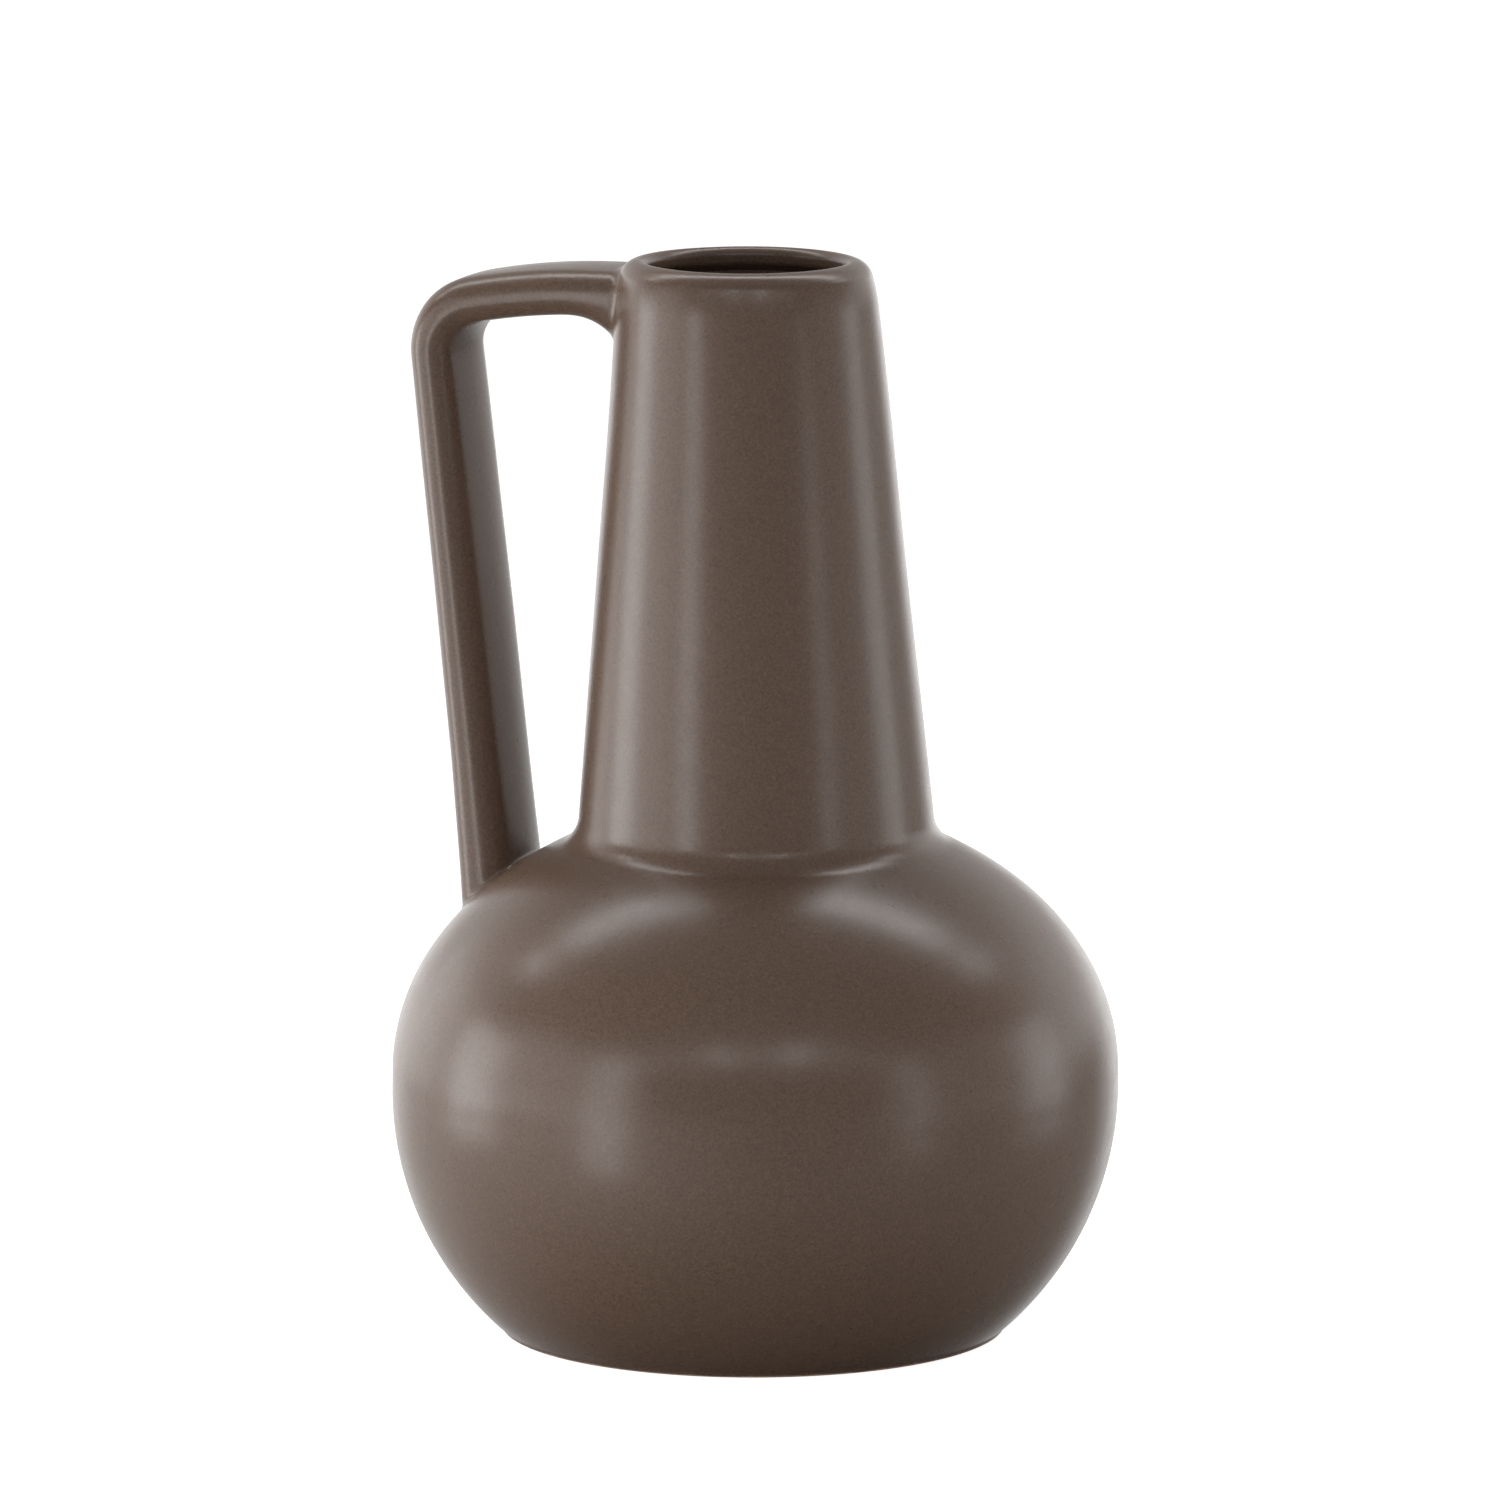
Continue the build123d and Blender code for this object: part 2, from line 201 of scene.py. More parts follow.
VIEW_BEARING = math.radians(22.0)  # camera's side, turned from -Y towards +X
VIEW_DROP = math.radians(9.64)
VIEW_DISTANCE = 3.4
VIEW_HEIGHT = 0.1628  # point on the axis that the camera looks at
VIEW_SIDESTEP = 0.00083
SENSOR = 36.0  # millimetres, as the lens
LENS = 293.76
FAR_CLIP = 60.0
view_right = Vector((math.cos(VIEW_BEARING), math.sin(VIEW_BEARING), 0))
view_front = Vector((math.sin(VIEW_BEARING), -math.cos(VIEW_BEARING), 0))


def place_camera():
    """Long lens, level horizon, a little above the vase."""
    towards = view_front * math.cos(VIEW_DROP) + Vector((0, 0, math.sin(VIEW_DROP)))
    stand = Vector((0, 0, VIEW_HEIGHT)) + towards * VIEW_DISTANCE - view_right * VIEW_SIDESTEP
    bpy.ops.object.camera_add(location=stand, rotation=towards.to_track_quat("Z", "Y").to_euler())
    camera = bpy.context.object
    camera.name = "photo_camera"
    camera.data.sensor_width = SENSOR
    camera.data.lens = LENS
    camera.data.clip_end = FAR_CLIP
    bpy.context.scene.camera = camera
    bpy.context.scene.view_settings.view_transform = "Standard"


# Thrown pieces

def throw_foot_ring():
    """Turned ring with its tongue, and the slip round it, in the bowl's groove."""
    outline = [(GROOVE_INNER, FLOOR_UNDERSIDE), (FOOT_INNER, FLOOR_UNDERSIDE)]
    inner_foot = (FOOT_INNER, 0)
    outer_foot = (FOOT_BASE, 0)
    outer_top = (FOOT_TOP, FOOT_STANDOFF)
    outline += rounded_corner(outline[-1], inner_foot, outer_foot, FOOT_INNER_ROUND, spacing=0.2)
    outline += stroke(outline[-1], (FOOT_FLAT_END, 0), spacing=2)
    outline += rounded_corner(inner_foot, outer_foot, outer_top, FOOT_OUTER_ROUND, spacing=0.2)
    outline += [outer_top, (GROOVE_OUTER, FOOT_STANDOFF), (GROOVE_OUTER, GROOVE_TOP)]
    outline += [(GROOVE_INNER, GROOVE_TOP)]
    return throw("foot_ring_piece", outline, True)


def throw_bowl():
    """Lower half of the belly, with its floor, foot groove and lap tongue."""
    edge_angle = -math.acos((BOWL_EDGE_RADIUS - bowl_centre) / bowl_outer_arc)
    fillet_centre_height = FLOOR_TOP + FLOOR_FILLET
    drop = BOWL_HEIGHT - fillet_centre_height
    fillet_angle = -math.asin(drop / (bowl_inner_arc - FLOOR_FILLET))
    fillet_centre = (
        bowl_centre + (bowl_inner_arc - FLOOR_FILLET) * math.cos(fillet_angle),
        fillet_centre_height,
    )
    outline = [(0, FLOOR_UNDERSIDE)]
    outline += stroke(outline[-1], (GROOVE_INNER, FLOOR_UNDERSIDE), spacing=6)
    outline += [(GROOVE_INNER, GROOVE_TOP), (GROOVE_OUTER, GROOVE_TOP)]
    outline += [(GROOVE_OUTER, FOOT_STANDOFF), (BOWL_EDGE_RADIUS, FOOT_STANDOFF)]
    arc_centre = (bowl_centre, BOWL_HEIGHT)
    outline += round_stroke(arc_centre, bowl_outer_arc, edge_angle, 0, spacing=1.8)
    outline += [(lap_radius, BOWL_HEIGHT), (lap_radius, lap_top), (BELLY_RADIUS - WALL, lap_top)]
    outline += [(BELLY_RADIUS - WALL, BOWL_HEIGHT)]
    outline += round_stroke(arc_centre, bowl_inner_arc, 0, fillet_angle, spacing=3)
    outline += round_stroke(fillet_centre, FLOOR_FILLET, fillet_angle, -math.pi / 2, spacing=1)
    outline += stroke(outline[-1], (0, FLOOR_TOP), spacing=5)
    return throw("bowl_piece", outline, False)


def fillet_on_shoulder():
    """Centre of the hollow curve that touches the shoulder's ellipse and the neck's side.

    Returns the centre, the ellipse's angle where the curve starts and the two end directions.
    """
    side = Vector((neck_slope, 1)).normalized()
    outward = Vector((side.y, -side.x))
    low, high = 0.2, 1.4  # angles up the ellipse with the start between them, halved to find it
    for _ in range(60):
        angle = (low + high) / 2
        point = Vector((BELLY_RADIUS * math.cos(angle), dome_base + SHOULDER_RISE * math.sin(angle)))
        normal = Vector((math.cos(angle) / BELLY_RADIUS, math.sin(angle) / SHOULDER_RISE)).normalized()
        centre = point + normal * SHOULDER_FILLET
        gap = (centre - Vector((neck_radius(0), 0))).dot(outward) - SHOULDER_FILLET
        if gap > 0:
            low = angle
        else:
            high = angle
    start = math.atan2(-normal.y, -normal.x)
    end = math.atan2(-outward.y, -outward.x)
    return centre, angle, start % (2 * math.pi), end % (2 * math.pi)


def throw_shoulder():
    """Upper half of the belly with its hollow curve, collar, neck socket and the slip in its lap."""
    centre, dome_end, start, end = fillet_on_shoulder()
    inner_radius = BELLY_RADIUS - WALL
    inner_rise = SHOULDER_RISE - WALL
    bore_angle = math.acos(collar_bore / inner_radius)
    bore_foot = dome_base + inner_rise * math.sin(bore_angle)
    outline = [(BELLY_RADIUS, BOWL_HEIGHT)]
    outline += stroke(outline[-1], (BELLY_RADIUS, dome_base), spacing=1.2)
    outline += dome_stroke(BELLY_RADIUS, SHOULDER_RISE, 0, dome_end, spacing=1.8)
    outline += round_stroke(centre, SHOULDER_FILLET, start, end, spacing=0.7)
    outline += stroke(outline[-1], (neck_radius(collar_top), collar_top), spacing=1.5)
    outline += [(socket_radius, collar_top), (socket_radius, collar_top - SOCKET_DEPTH)]
    outline += [(collar_bore, collar_top - SOCKET_DEPTH)]
    # The corner at the bore's foot is rounded towards a point a little way down the dome
    down_dome = bore_angle - 0.05
    slope_point = (inner_radius * math.cos(down_dome), dome_base + inner_rise * math.sin(down_dome))
    bore_corner = (collar_bore, bore_foot)
    outline += rounded_corner(outline[-1], bore_corner, slope_point, COLLAR_INNER_ROUND, spacing=0.6)
    past_round = math.acos(min(1, outline[-1][0] / inner_radius)) - 0.02
    outline += dome_stroke(inner_radius, inner_rise, past_round, 0, spacing=3)
    outline += [(inner_radius, lap_top), (lap_radius, lap_top), (lap_radius, BOWL_HEIGHT)]
    return throw("shoulder_piece", outline, True)


def throw_neck():
    """Tapered neck with its spigot, the slip round it and the rebate for the lip."""
    outline = [(neck_radius(collar_top), collar_top)]
    outline += stroke(outline[-1], (neck_radius(lip_seam), lip_seam), spacing=2.5)
    outline += [(rebate_radius, lip_seam), (rebate_radius, rebate_floor)]
    outline += [(neck_radius(rebate_floor) - WALL, rebate_floor)]
    outline += stroke(outline[-1], (collar_bore, collar_top), spacing=3)
    outline += [(collar_bore, collar_top - SOCKET_DEPTH)]
    outline += [(socket_radius, collar_top - SOCKET_DEPTH), (socket_radius, collar_top)]
    return throw("neck_piece", outline, True)


def lip_outline():
    """Drawn-in mouth ring with a round crown, its skirt and the slip round that.

    Returns the outline and how many of its points, from the seam up, are on its outer side.
    """
    side = Vector((neck_slope, 1)).normalized()
    chord = Vector((LIP_TOP_RADIUS - NECK_TOP_RADIUS, LIP_HEIGHT))
    arc_radius = chord.length / (2 * math.sin(side.angle(chord)))
    inward = Vector((-side.y, side.x))
    centre = Vector((NECK_TOP_RADIUS, neck_top)) + inward * arc_radius
    round_height = TOTAL_HEIGHT - LIP_OUTER_ROUND
    reach = math.sqrt((arc_radius - LIP_OUTER_ROUND) ** 2 - (round_height - centre.y) ** 2)
    round_centre = (centre.x + reach, round_height)
    start = math.atan2(-inward.y, -inward.x)
    meet = math.atan2(round_height - centre.y, reach)
    outline = [(neck_radius(lip_seam), lip_seam), (NECK_TOP_RADIUS, neck_top)]
    outline += round_stroke(centre, arc_radius, start, meet, spacing=0.8)
    outline += round_stroke(round_centre, LIP_OUTER_ROUND, meet, math.pi / 2, spacing=0.4)
    outer_count = len(outline)
    inner_centre = (MOUTH_RADIUS + LIP_INNER_ROUND, TOTAL_HEIGHT - LIP_INNER_ROUND)
    outline += round_stroke(inner_centre, LIP_INNER_ROUND, math.pi / 2, math.pi, spacing=0.3)
    outline += [(MOUTH_RADIUS, UNDERCUT_TOP)]
    undercut_centre = (MOUTH_RADIUS + UNDERCUT_ROUND, UNDERCUT_TOP)
    undercut_end = math.pi + UNDERCUT_TURN
    outline += round_stroke(undercut_centre, UNDERCUT_ROUND, math.pi, undercut_end, spacing=0.5)
    slope_radius, slope_height = outline[-1]
    slope_foot = slope_height - UNDERCUT_SLOPE * (neck_bore - slope_radius)
    outline += [(neck_bore, slope_foot), (neck_bore, rebate_floor)]
    outline += [(rebate_radius, rebate_floor), (rebate_radius, lip_seam)]
    return outline, outer_count


lip_points, lip_outer_count = lip_outline()
lip_side = lip_points[:lip_outer_count]


# Handle, in millimetres

HANDLE_WIDTH = 33.0
HANDLE_THICKNESS = 13.6
OUTER_ROUND = 6.2
INNER_ROUND = 6.4
OUTER_CROWN = 0.8  # how much lower the outer face's edges are than its middle
INNER_CROWN = 1.7  # the same on the inner face
LONG_EDGE = 15.0  # edges of the section longer than this are its flats
FLAT_CUTS = 11
ROUND_SEGMENTS = 10
HANDLE_REACH = 97.2  # axis to the strap's outer face at the bend
LANDING = 76.8  # axis to the strap's middle on the shoulder
ARM_LEVEL = 289.8  # height of the strap's middle at its root
ARM_STRAIGHT = 4.0
ARCH_RADIUS = 205.0
BEND_RADIUS = 15.0
WEB_LENGTH = 16.0  # hollow curve under the arm's root, along the arm
WEB_DEPTH = 6.6
WEB_CURVE = 2.6  # power that the web's depth falls off with
WEB_HEAD = 2.0  # height above the strap's middle where the web's pull ends
WEB_STRETCH = 13.0  # stretch of the arch, next to the level stretch, that the web's curve reaches
ARM_STEPS = 4
ARCH_STEPS = 10  # in each of the arch's two stretches
BEND_STEPS = 18
UPRIGHT_STEPS = 44
LOWER_WIDENING = 1.035  # strap's width at its lower end against its upper end
LOWER_THICKENING = 1.14
SETTLING_ZONE = 34.0  # last stretch of the upright, where its rings tilt to the shoulder's slope
ROOT_FILLET = 2.2
ROOT_SKIRT = 2.64  # how far the skirt spreads round the strap's section
LANDING_FILLET = 1.5
LANDING_SKIRT = 2.1
FILLET_SEGMENTS = 5
SKIRT_SINK = 0.3  # how deep the skirts' edges lie in the wall
PLUG = 2.5  # how far each end runs on inside the vessel's wall
HANDLE_MIDDLE = 225.0  # height between the two ends
LAST_RING_GAP = 1.0  # the lowest ring is no further than this from the shoulder
NEAR = 0.01  # places that differ by less are the same

arm_start = neck_radius(ARM_LEVEL) + ARM_STRAIGHT
bend_x = HANDLE_REACH - HANDLE_THICKNESS / 2 - BEND_RADIUS
arch_angle = math.asin((bend_x - arm_start) / (ARCH_RADIUS - BEND_RADIUS))
bend_z = ARM_LEVEL - ARCH_RADIUS + (ARCH_RADIUS - BEND_RADIUS) * math.cos(arch_angle)


def dome_height(radius):
    """Height of the shoulder's outside at a distance from the axis."""
    return dome_base + SHOULDER_RISE * math.sqrt(1 - (radius / BELLY_RADIUS) ** 2)


landing_z = dome_height(LANDING)
to_bend = math.hypot(bend_x - LANDING, bend_z - landing_z)
lean = math.atan2(bend_x - LANDING, bend_z - landing_z) + math.asin(BEND_RADIUS / to_bend)
upright_length = math.sqrt(to_bend**2 - BEND_RADIUS**2)


def neck_and_lip_radius(height):
    """Outside radius of neck or lip at a height, read along the lip's drawn outline."""
    if height <= neck_top:
        return neck_radius(height)
    for (low_r, low_z), (high_r, high_z) in zip(lip_side, lip_side[1:]):
        if low_z <= height <= high_z:
            return low_r + (high_r - low_r) * (height - low_z) / (high_z - low_z)
    return lip_side[-1][0]


def select_points(piece, wanted):
    """Selects the points of a mesh in edit mode whose place, in millimetres, passes a test."""
    mesh = bmesh.from_edit_mesh(piece.data)
    bpy.ops.mesh.select_all(action="DESELECT")
    for point in mesh.verts:
        point.select = wanted(point.co / MM)
    mesh.select_flush(True)
    bmesh.update_edit_mesh(piece.data)


def select_edges(piece, wanted):
    """Selects the edges of a mesh in edit mode whose ends, in millimetres, pass a test."""
    bpy.ops.mesh.select_all(action="DESELECT")
    bpy.ops.mesh.select_mode(type="EDGE")
    mesh = bmesh.from_edit_mesh(piece.data)
    for edge in mesh.edges:
        edge.select = wanted(edge.verts[0].co / MM, edge.verts[1].co / MM)
    mesh.select_flush(True)
    bmesh.update_edit_mesh(piece.data)
    bpy.ops.mesh.select_mode(type="VERT")


def middle_of_selection(piece):
    """Middle of the box round the selected points, in metres."""
    mesh = bmesh.from_edit_mesh(piece.data)
    chosen = [point.co for point in mesh.verts if point.select]
    low = Vector([min(c[k] for c in chosen) for k in range(3)])
    high = Vector([max(c[k] for c in chosen) for k in range(3)])
    return (low + high) / 2


def flare_selection(piece, growth, axes):
    """Spreads the selected ring outwards by growth, in millimetres, along the axes marked 1."""
    mesh = bmesh.from_edit_mesh(piece.data)
    chosen = [point.co / MM for point in mesh.verts if point.select]
    spread = []
    for k in range(3):
        size = max(c[k] for c in chosen) - min(c[k] for c in chosen)
        spread.append(1 + axes[k] * 2 * growth / size)
    bpy.ops.transform.resize(value=spread, center_override=middle_of_selection(piece))


def settle_selection(piece, place):
    """Puts each selected point where a rule for its own place, in millimetres, says."""
    mesh = bmesh.from_edit_mesh(piece.data)
    for point in mesh.verts:
        if point.select:
            point.co = place(point.co / MM) * MM
    bmesh.update_edit_mesh(piece.data)


def on_shoulder(point, lift=0.0):
    """The point straight below or above on the shoulder, raised by lift."""
    return Vector((point.x, point.y, dome_height(math.hypot(point.x, point.y)) + lift))


def on_neck(point, lift=0.0):
    """The point level with this one on the neck or lip, on the handle's side, raised by lift."""
    radius = neck_and_lip_radius(point.z) + lift
    return Vector((-math.sqrt(max(radius**2 - point.y**2, 1)), point.y, point.z))


def lies_on_shoulder(point):
    """Whether a point was settled on the shoulder."""
    return abs(point.z - on_shoulder(point).z) < NEAR


def lies_on_neck(point):
    """Whether a point was settled on the neck or lip."""
    return abs(point.x - on_neck(point).x) < NEAR


def pull_handle():
    """Strap from one section: arm, slow arch, bend and upright, with both ends luted on."""
    bpy.ops.object.select_all(action="DESELECT")
    bpy.ops.mesh.primitive_plane_add(size=MM)
    piece = bpy.context.object
    piece.name = "handle_piece"
    piece.data.name = "handle_piece"
    bpy.ops.object.mode_set(mode="EDIT")
    bpy.ops.mesh.select_all(action="SELECT")
    bpy.ops.transform.resize(value=(HANDLE_THICKNESS, HANDLE_WIDTH, 1))
    bpy.ops.transform.rotate(value=math.pi / 2, orient_axis="Y", center_override=(0, 0, 0))
    bpy.ops.transform.translate(value=(-arm_start * MM, 0, ARM_LEVEL * MM))

    # Round the section's edges, then add points along its flats
    select_points(piece, lambda p: p.z > ARM_LEVEL)
    bpy.ops.mesh.bevel(offset=OUTER_ROUND * MM, segments=ROUND_SEGMENTS, affect="VERTICES")
    underside = ARM_LEVEL - HANDLE_THICKNESS / 2
    select_points(piece, lambda p: p.z < underside + NEAR)
    bpy.ops.mesh.bevel(offset=INNER_ROUND * MM, segments=ROUND_SEGMENTS, affect="VERTICES")
    bpy.ops.mesh.select_all(action="SELECT")
    bpy.ops.mesh.delete(type="ONLY_FACE")
    select_edges(piece, lambda a, b: (a - b).length > LONG_EDGE)
    bpy.ops.mesh.subdivide(number_cuts=FLAT_CUTS)

    # Crown both faces: their edges come in, the middle stays
    outer_round_foot = ARM_LEVEL + HANDLE_THICKNESS / 2 - OUTER_ROUND
    inner_round_top = underside + INNER_ROUND

    def crown_outer_face(point):
        share = (point.z - outer_round_foot) / OUTER_ROUND * (2 * point.y / HANDLE_WIDTH) ** 2
        return Vector((point.x, point.y, point.z - OUTER_CROWN * share))

    def crown_inner_face(point):
        share = (inner_round_top - point.z) / INNER_ROUND * (2 * point.y / HANDLE_WIDTH) ** 2
        return Vector((point.x, point.y, point.z + INNER_CROWN * share))

    select_points(piece, lambda p: p.z > outer_round_foot + NEAR)
    settle_selection(piece, crown_outer_face)
    select_points(piece, lambda p: p.z < inner_round_top - NEAR)
    settle_selection(piece, crown_inner_face)

    # Outwards along the arch, down round the bend and along the upright
    bpy.ops.mesh.select_all(action="SELECT")
    arch_centre = (-arm_start * MM, 0, (ARM_LEVEL - ARCH_RADIUS) * MM)
    web_angle = WEB_STRETCH / ARCH_RADIUS
    for stretch in (web_angle, arch_angle - web_angle):
        bpy.ops.mesh.spin(steps=ARCH_STEPS, angle=stretch, center=arch_centre, axis=(0, 1, 0))
    bend_centre = (-bend_x * MM, 0, bend_z * MM)
    bend_angle = math.pi / 2 + lean - arch_angle
    bpy.ops.mesh.spin(steps=BEND_STEPS, angle=bend_angle, center=bend_centre, axis=(0, 1, 0))
    step = upright_length / UPRIGHT_STEPS
    down = Vector((math.sin(lean), 0, -math.cos(lean))) * step * MM
    growth = (LOWER_THICKENING ** (1 / UPRIGHT_STEPS), LOWER_WIDENING ** (1 / UPRIGHT_STEPS), 1)
    for _ in range(UPRIGHT_STEPS):
        bpy.ops.mesh.extrude_edges_move(TRANSFORM_OT_translate={"value": down})
        bpy.ops.transform.resize(value=growth, center_override=middle_of_selection(piece))

    # Lower end: the last rings tilt to the shoulder, then a skirt, a fillet and a plug in the wall
    zone_top = landing_z + SETTLING_ZONE

    def tilt_to_shoulder(point):
        share = (zone_top - point.z) / (zone_top - landing_z)
        target = dome_height(math.hypot(point.x, point.y))
        return Vector((point.x, point.y, zone_top - share * (zone_top - target)))

    select_points(piece, lambda p: p.z < zone_top)
    settle_selection(piece, tilt_to_shoulder)
    select_points(piece, lambda p: abs(p.z - on_shoulder(p).z) < LAST_RING_GAP)
    settle_selection(piece, on_shoulder)
    bpy.ops.mesh.extrude_edges_move(TRANSFORM_OT_translate={"value": (0, 0, 0)})
    flare_selection(piece, LANDING_SKIRT, (1, 1, 0))
    settle_selection(piece, lambda p: on_shoulder(p, -SKIRT_SINK))
    bpy.ops.mesh.extrude_edges_move(TRANSFORM_OT_translate={"value": (0, 0, -PLUG * MM)})
    bpy.ops.mesh.edge_face_add()

    # Upper end: towards the neck, with the web's hollow curve, a skirt, a fillet and a plug
    select_points(piece, lambda p: abs(p.x + arm_start) < NEAR)
    inwards = (ARM_STRAIGHT / ARM_STEPS * MM, 0, 0)
    for _ in range(ARM_STEPS):
        bpy.ops.mesh.extrude_edges_move(TRANSFORM_OT_translate={"value": inwards})
    root_x = -neck_radius(ARM_LEVEL)
    zone_x = -arm_start - WEB_STRETCH
    web_head = ARM_LEVEL + WEB_HEAD

    def hollow_web(point):
        gap = min(max(root_x - point.x, 0), WEB_LENGTH)
        drop = WEB_DEPTH * (1 - gap / WEB_LENGTH) ** WEB_CURVE
        share = min(max((web_head - point.z) / (web_head - underside), 0), 1)
        return Vector((point.x, point.y, point.z - drop * share))

    def reach_to_neck(point):
        share = (point.x - zone_x) / (root_x - zone_x)
        target = on_neck(point).x
        return Vector((zone_x + share * (target - zone_x), point.y, point.z))

    select_points(piece, lambda p: p.x > zone_x and p.z > HANDLE_MIDDLE)
    settle_selection(piece, hollow_web)
    settle_selection(piece, reach_to_neck)
    select_points(piece, lambda p: p.x > zone_x and p.z > HANDLE_MIDDLE and lies_on_neck(p))
    bpy.ops.mesh.extrude_edges_move(TRANSFORM_OT_translate={"value": (0, 0, 0)})
    flare_selection(piece, ROOT_SKIRT, (0, 1, 1))
    settle_selection(piece, lambda p: on_neck(p, -SKIRT_SINK))
    bpy.ops.mesh.extrude_edges_move(TRANSFORM_OT_translate={"value": (PLUG * MM, 0, 0)})
    bpy.ops.mesh.edge_face_add()

    # Round the two creases where the strap meets the vessel
    def in_lower_crease(point):
        return point.z < HANDLE_MIDDLE and lies_on_shoulder(point)

    def in_upper_crease(point):
        return point.z > HANDLE_MIDDLE and lies_on_neck(point)

    select_edges(piece, lambda a, b: in_lower_crease(a) and in_lower_crease(b))
    bpy.ops.mesh.bevel(offset=LANDING_FILLET * MM, segments=FILLET_SEGMENTS, affect="EDGES")
    select_edges(piece, lambda a, b: in_upper_crease(a) and in_upper_crease(b))
    bpy.ops.mesh.bevel(offset=ROOT_FILLET * MM, segments=FILLET_SEGMENTS, affect="EDGES")
    bpy.ops.mesh.select_all(action="SELECT")
    bpy.ops.mesh.normals_make_consistent(inside=False)
    bpy.ops.object.mode_set(mode="OBJECT")
    return piece


# Glaze and clay

def new_group(name, inputs, outputs):
    """A shader node group with named sockets, and its two end nodes."""
    tree = bpy.data.node_groups.new(name, "ShaderNodeTree")
    for label, kind, value in inputs:
        socket = tree.interface.new_socket(name=label, in_out="INPUT", socket_type=kind)
        if value is not None:
            socket.default_value = value
    for label, kind in outputs:
        tree.interface.new_socket(name=label, in_out="OUTPUT", socket_type=kind)
    return tree, tree.nodes.new("NodeGroupInput"), tree.nodes.new("NodeGroupOutput")


def math_node(tree, operation, first, second):
    """A math node fed by sockets or numbers."""
    node = tree.nodes.new("ShaderNodeMath")
    node.operation = operation
    for socket, value in zip(node.inputs, (first, second)):
        if isinstance(value, (int, float)):
            socket.default_value = value
        else:
            tree.links.new(value, socket)
    return node.outputs[0]


def noise(tree, vector, scale, detail):
    """The value of a noise texture at a vector; scale is a number or a socket."""
    node = tree.nodes.new("ShaderNodeTexNoise")
    node.inputs["Detail"].default_value = detail
    if isinstance(scale, (int, float)):
        node.inputs["Scale"].default_value = scale
    else:
        tree.links.new(scale, node.inputs["Scale"])
    tree.links.new(vector, node.inputs["Vector"])
    return node.outputs["Fac"]


def ramp(tree, value, low, high, to_low=0.0, to_high=1.0):
    """A value mapped from one range to another, held at the ends."""
    node = tree.nodes.new("ShaderNodeMapRange")
    tree.links.new(value, node.inputs["Value"])
    node.inputs["From Min"].default_value = low
    node.inputs["From Max"].default_value = high
    node.inputs["To Min"].default_value = to_low
    node.inputs["To Max"].default_value = to_high
    return node.outputs["Result"]


def blend_colours(tree, share, first, second):
    """A mix of two colours, each a tuple or a socket."""
    node = tree.nodes.new("ShaderNodeMix")
    node.data_type = "RGBA"
    tree.links.new(share, node.inputs["Factor"])
    first_colour, second_colour, mixed = node.inputs[6], node.inputs[7], node.outputs[2]
    for socket, colour in ((first_colour, first), (second_colour, second)):
        if isinstance(colour, tuple):
            socket.default_value = (*colour, 1)
        else:
            tree.links.new(colour, socket)
    return mixed


PEEL_SHARE = 0.15  # heights of the fine peel and of the slow waves under it
WAVE_SHARE = 1.5
SMALLEST_SPECK = 0.4  # against the largest


def make_orange_peel():
    """Fine grain of a matte glaze: a height for bump and a value for uneven gloss."""
    tree, entry, exit_node = new_group(
        "orange_peel",
        [("Vector", "NodeSocketVector", None), ("Peel", "NodeSocketFloat", 420.0)],
        [("Height", "NodeSocketFloat"), ("Gloss", "NodeSocketFloat")],
    )
    vector = entry.outputs["Vector"]
    peel = noise(tree, vector, entry.outputs["Peel"], detail=1)
    waves = noise(tree, vector, scale=70.0, detail=1)
    fine_height = math_node(tree, "MULTIPLY", peel, PEEL_SHARE)
    slow_height = math_node(tree, "MULTIPLY", waves, WAVE_SHARE)
    tree.links.new(math_node(tree, "ADD", fine_height, slow_height), exit_node.inputs["Height"])
    tree.links.new(noise(tree, vector, scale=160.0, detail=2), exit_node.inputs["Gloss"])
    return tree


def make_specks():
    """Mask of small round spots: Spacing cells to the metre, of which a Share holds a spot."""
    tree, entry, exit_node = new_group(
        "specks",
        [
            ("Vector", "NodeSocketVector", None),
            ("Spacing", "NodeSocketFloat", 30.0),
            ("Size", "NodeSocketFloat", 0.01),
            ("Share", "NodeSocketFloat", 0.5),
        ],
        [("Mask", "NodeSocketFloat")],
    )
    cells = tree.nodes.new("ShaderNodeTexVoronoi")
    tree.links.new(entry.outputs["Vector"], cells.inputs["Vector"])
    tree.links.new(entry.outputs["Spacing"], cells.inputs["Scale"])
    split = tree.nodes.new("ShaderNodeSeparateColor")
    tree.links.new(cells.outputs["Color"], split.inputs["Color"])
    chosen = math_node(tree, "LESS_THAN", split.outputs["Red"], entry.outputs["Share"])
    own_share = ramp(tree, split.outputs["Green"], 0, 1, SMALLEST_SPECK, 1.0)
    own_size = math_node(tree, "MULTIPLY", entry.outputs["Size"], own_share)
    inside = math_node(tree, "LESS_THAN", cells.outputs["Distance"], own_size)
    tree.links.new(math_node(tree, "MULTIPLY", inside, chosen), exit_node.inputs["Mask"])
    return tree


def place_group(tree, group, vector, **values):
    """A group's node in a material, fed with a vector and its own values."""
    node = tree.nodes.new("ShaderNodeGroup")
    node.node_tree = group
    tree.links.new(vector, node.inputs["Vector"])
    for name, value in values.items():
        node.inputs[name].default_value = value
    return node


def new_material(name):
    """A material with its shader, its tree and Object coordinates."""
    material = bpy.data.materials.new(name)
    material.use_nodes = True
    tree = material.node_tree
    shader = tree.nodes["Principled BSDF"]
    place = tree.nodes.new("ShaderNodeTexCoord").outputs["Object"]
    return material, tree, shader, place


